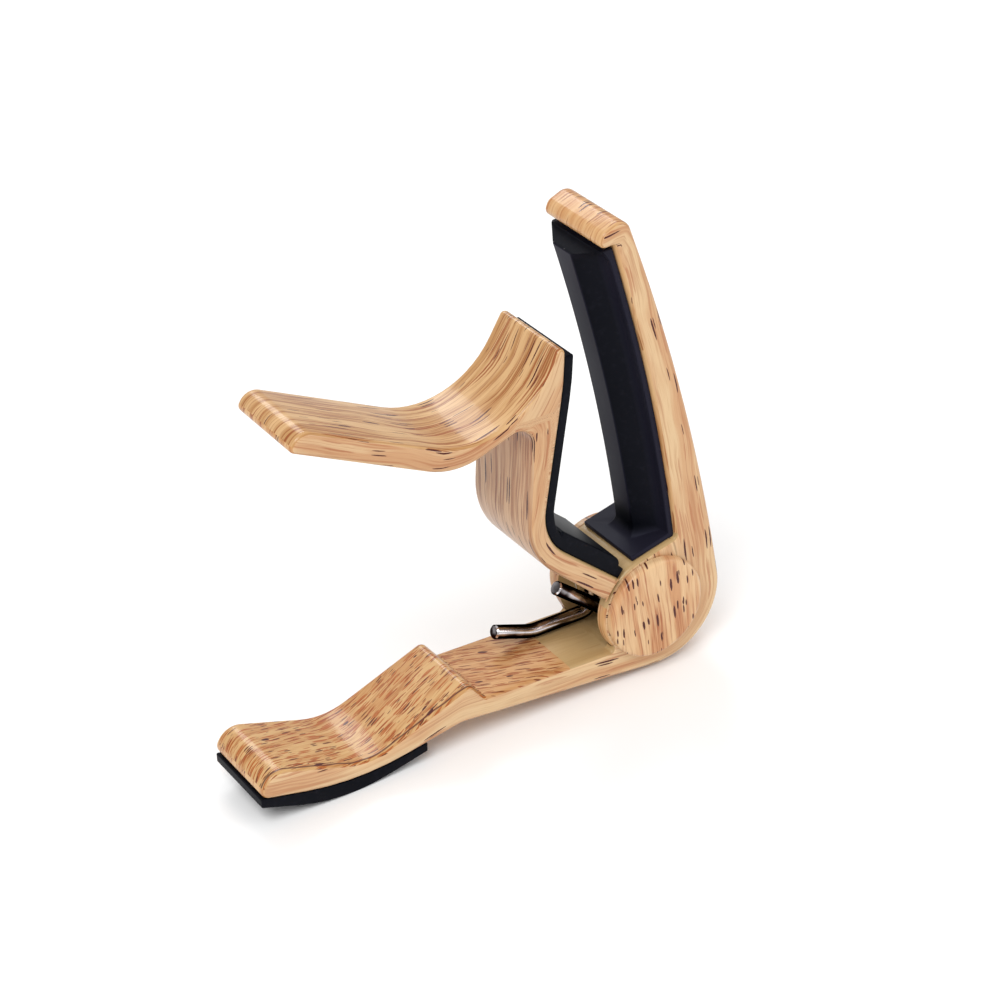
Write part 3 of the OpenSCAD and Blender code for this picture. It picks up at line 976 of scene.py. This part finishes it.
# ---------------------------------------------------------------- the spring
def spring_line():
    """The middle of the wire from the upper leg's tip round the coil to the lower leg's tip, as (x, y, z)."""
    start = polar(COIL_R, UPPER_DEG)
    away = (math.sin(math.radians(UPPER_DEG)), -math.cos(math.radians(UPPER_DEG)))
    leg_steps, step_deg, spread = 12, 8, 0.4
    low = open_line([
        polar(COIL_R, LOWER_DEG) + (0,), (-4.72, -4.95, 2.4), (-16.8, -4.7, 8), (-23.8, -2.05, 0)])
    pts = []
    for k in range(leg_steps):
        s = UPPER_LEG * (1 - k / leg_steps)
        pts.append((start[0] + away[0] * s, -COIL_HALF, start[1] + away[1] * s))
    turns = int((LOWER_DEG - UPPER_DEG) / step_deg)
    for k in range(turns + 1):
        f = k / turns
        p = polar(COIL_R, UPPER_DEG + f * (LOWER_DEG - UPPER_DEG))
        pts.append((p[0], COIL_HALF * (2 * f - 1), p[1]))
    for i, p in enumerate(low[1:], 1):
        pts.append((p[0], COIL_HALF + spread * i / len(low), p[1]))
    return [Vector(p) for p in pts]


def build_spring():
    """The wire, swept along its line, with chamfered ends."""
    pts = spring_line()
    chamfer, sides = 0.22, 24
    first = (pts[1] - pts[0]).normalized()
    last = (pts[-1] - pts[-2]).normalized()
    tip_r = WIRE_R - chamfer
    line = [(pts[0], tip_r), (pts[0] + first * chamfer, WIRE_R)]
    line += [(p, WIRE_R) for p in pts[1:-1]]
    line += [(pts[-1] - last * chamfer, WIRE_R), (pts[-1], tip_r)]
    verts, faces = [], []
    cross = Vector((0, 1, 0))
    for i, (p, r) in enumerate(line):
        a, b = line[max(i - 1, 0)][0], line[min(i + 1, len(line) - 1)][0]
        t = (b - a).normalized()
        side = (cross - t * cross.dot(t)).normalized()
        up = t.cross(side)
        for k in range(sides):
            angle = 2 * math.pi * k / sides
            q = p + (side * math.cos(angle) + up * math.sin(angle)) * r
            verts.append(tuple(place(q.x, q.y, q.z)))
    for i in range(len(line) - 1):
        here, there = i * sides, (i + 1) * sides
        for j in range(sides):
            k = (j + 1) % sides
            faces.append((here + j, here + k, there + k, there + j))
    faces.append(tuple(range(sides))[::-1])
    faces.append(tuple((len(line) - 1) * sides + k for k in range(sides)))
    mesh = bpy.data.meshes.new("black_spring")
    mesh.from_pydata(verts, [], faces)
    obj = link("black_spring", mesh)
    tidy(obj)
    return obj


# ---------------------------------------------------------------- putting it together
printed = print_set()
levered = lever_set()
rubber = silicone("pad_silicone")

casting = build_frame()
dress(casting, printed)
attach(casting, "base")
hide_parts("frame")

lever = build_lever()
dress(lever, levered)
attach(lever, "jaw")
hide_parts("lever")

disc_print = wood("print_disc", ink(244, 208, 168), ink(222, 168, 126), ink(180, 106, 68),
                  band=(30, 1.9, 1.0), line=(16, 0.55, 0.7), seed=14.0, warp=0.5,
                  strokes=[(9.0, 1.6, 0.3, 0.4, 9.0, 0.6, ink(176, 98, 62), 0.25),
                           (6.6, 1.2, 0.62, 0.18, 29.0, 1.0, DARK, 0.02),
                           (4.2, 1.0, 0.3, 0.19, 31.0, 1.0, DARK, 0.02)])
for name, node, side in (("disc_near", "cap_near", -1), ("disc_far", "cap_far", 1)):
    disc = build_cap(name, side)
    dress(disc, [disc_print])
    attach(disc, "base")
    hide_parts(node)

for build, body, node in ((build_string_pad, "base", "string_pad"), (build_neck_pad, "jaw", "neck_pad"),
                          (build_grip_pad, "base", "grip_pad")):
    pad = build()
    dress(pad, [rubber])
    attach(pad, body)
    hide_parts(node)

spring = build_spring()
dress(spring, [black_nickel()])
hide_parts("torsion_spring")
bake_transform(spring)

dress(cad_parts["pivot_pin"], [turned_steel("pin_steel", srgb(190, 190, 194), 0.28)])
washers = nylon("washer_nylon")
for node in ("washer_near", "washer_far"):
    dress(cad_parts[node], [washers])


# ---------------------------------------------------------------- floor, light and camera
# in metres from here on
def build_floor():
    half = 3.0
    mesh = bpy.data.meshes.new("floor")
    corners = [(-half, -half, 0), (half, -half, 0), (half, half, 0), (-half, half, 0)]
    mesh.from_pydata(corners, [], [(0, 1, 2, 3)])
    n = Nodes("floor_paper")
    paper = n.noise(n.scaled(n.add("TexCoord").outputs["Object"], (40, 40, 40)), 2.0)
    n.put(n.mix(paper, (0.94, 0.94, 0.94, 1), (0.96, 0.96, 0.96, 1)), n.shader.inputs["Base Color"])
    n.shader.inputs["Roughness"].default_value = 0.9
    n.shader.inputs["Specular IOR Level"].default_value = 0.1
    mesh.materials.append(n.mat)
    link("floor", mesh)


def lamp(name, spot, width, watts):
    """A round soft lamp that shines on the middle of the capo."""
    aim = Vector((0, 0, 0.03))
    data = bpy.data.lights.new(name, "AREA")
    data.shape, data.size, data.energy = "DISK", width, watts
    obj = link(name, data)
    obj.location = spot
    obj.rotation_euler = (aim - Vector(spot)).to_track_quat("-Z", "Y").to_euler()


def build_lights():
    world = bpy.data.worlds.new("studio")
    world.use_nodes = True
    background = world.node_tree.nodes["Background"]
    background.inputs["Color"].default_value = (1, 1, 1, 1)
    background.inputs["Strength"].default_value = 0.6
    bpy.context.scene.world = world
    lamp("key", (-0.45, -0.35, 0.75), 0.55, 5.0)
    lamp("fill", (0.6, -0.5, 0.4), 0.5, 1.4)
    lamp("rim", (0.2, 0.6, 0.6), 0.4, 2.2)


def build_camera():
    cam = bpy.data.cameras.new("camera")
    cam.lens, cam.sensor_width = 100.6, 36.0
    cam.clip_start, cam.clip_end = 0.01, 20
    obj = link("camera", cam)
    right = (0.83846, -0.54388, -0.03412)
    up = (0.31167, 0.42723, 0.84873)
    behind = (-0.44703, -0.72226, 0.52772)
    spot = (-0.189876, -0.3171, 0.269325)
    obj.matrix_world = Matrix([(right[i], up[i], behind[i], spot[i]) for i in range(3)] + [(0, 0, 0, 1)])
    bpy.context.scene.camera = obj


build_floor()
build_lights()
build_camera()
bpy.context.scene.view_settings.view_transform = "Standard"
